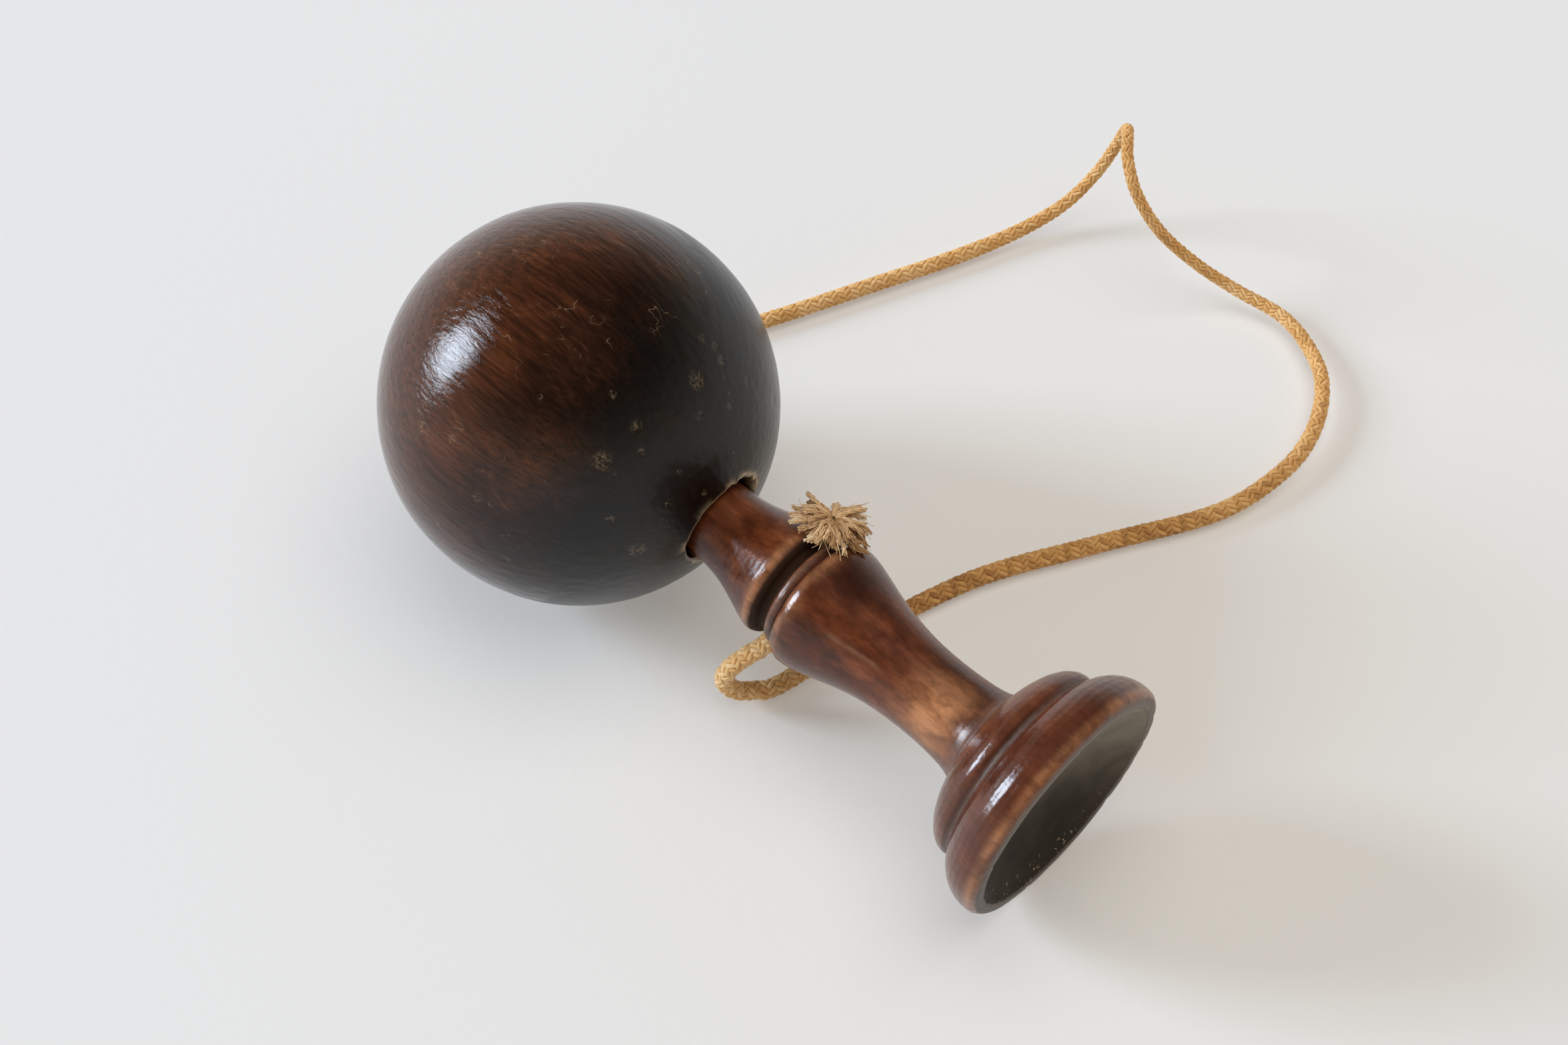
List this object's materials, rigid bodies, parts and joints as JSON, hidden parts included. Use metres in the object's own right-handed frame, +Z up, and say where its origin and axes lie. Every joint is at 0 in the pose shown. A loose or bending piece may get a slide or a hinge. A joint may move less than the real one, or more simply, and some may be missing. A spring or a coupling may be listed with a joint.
{
  "type": "cup and ball toy",
  "caption": "Turned wooden cup and ball toy: a bored ball on the spike of a waisted handle with a dished foot, tied together by a braided cord.",
  "frame": {"origin": "on the table, under the middle of the wooden parts' box (the cord is left out of that box)", "axes": "+X from the ball towards the foot of the handle as it lies, +Y away from the viewer across the table, +Z up"},
  "size_m": [0.1426, 0.152, 0.065],
  "materials": {
    "ball_wood": "very dark stained and waxed hardwood, worn to red-brown in places, small dents and pale scratches",
    "handle_wood": "red-brown stained and shellacked hardwood, rubbed to orange on the ridges, dark dirt in the grooves",
    "cord": "round braided cotton, tan, frayed at the tuft"
  },
  "bodies": {
    "handle": {"handle": "handle_wood", "cord": "cord", "cord_tuft": "cord"},
    "cord_end": {"cord_stop": "cord"},
    "ball": {"ball": "ball_wood"}
  },
  "joints": [
    {"name": "ball_lift", "type": "slide", "parent": "handle", "child": "cord_end", "axis": [-0.9939, 0, 0.1102], "range_m": [0, 0.06], "deforming": ["cord"]},
    {"name": "ball_spin", "type": "hinge", "parent": "cord_end", "child": "ball", "pos_m": [-0.03633, 0, 0.0325], "axis": [-0.9939, 0, 0.1102], "continuous": true}
  ]
}
